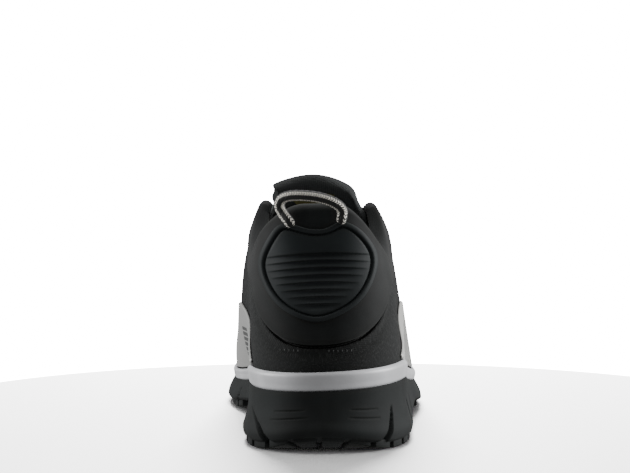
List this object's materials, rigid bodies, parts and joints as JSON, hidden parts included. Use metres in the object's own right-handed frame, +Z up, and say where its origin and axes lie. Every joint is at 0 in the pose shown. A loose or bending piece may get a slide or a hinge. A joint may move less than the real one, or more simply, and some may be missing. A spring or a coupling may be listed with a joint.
{
  "type": "safety sneaker",
  "caption": "Low safety sneaker for the right foot: lugged rubber outsole, pale midsole band, black cloth upper with padded collar, ribbed heel patch, side panels, laces and a pull loop",
  "frame": {"origin": "on the floor under the middle of the heel, on the underside of the heel's middle lug", "axes": "+Z up, +Y from the heel to the toe, +X to the outer (little toe) side of the right foot"},
  "size_m": [0.1099, 0.2984, 0.1304],
  "materials": {
    "outsole_rubber": "satin moulded rubber",
    "grey_midsole": "matte moulded foam rubber",
    "insole_cloth": "matte brushed cloth",
    "black_upper_cloth": "matte woven textile with a smooth collar panel",
    "side_panel_film": "light grey metallic film with a fine dark pattern",
    "toe_cap_film": "matte moulded scuff film",
    "heel_patch_plastic": "satin moulded plastic",
    "tongue_cloth": "padded matte textile",
    "eyelet_plastic": "satin moulded plastic",
    "cord": "round braided cord, the pull loop with off-white tracer yarns"
  },
  "bodies": {
    "root": {"outsole": "outsole_rubber", "midsole": "grey_midsole", "insole": "insole_cloth", "upper": "black_upper_cloth", "side_panel_outer": "side_panel_film", "side_panel_inner": "side_panel_film", "toe_cap": "toe_cap_film", "heel_patch": "heel_patch_plastic", "tongue": "tongue_cloth", "eyelet_outer_1": "eyelet_plastic", "eyelet_outer_2": "eyelet_plastic", "eyelet_outer_3": "eyelet_plastic", "eyelet_outer_4": "eyelet_plastic", "eyelet_outer_5": "eyelet_plastic", "eyelet_inner_1": "eyelet_plastic", "eyelet_inner_2": "eyelet_plastic", "eyelet_inner_3": "eyelet_plastic", "eyelet_inner_4": "eyelet_plastic", "eyelet_inner_5": "eyelet_plastic", "laces": "cord", "pull_loop": "cord"}
  },
  "joints": []
}
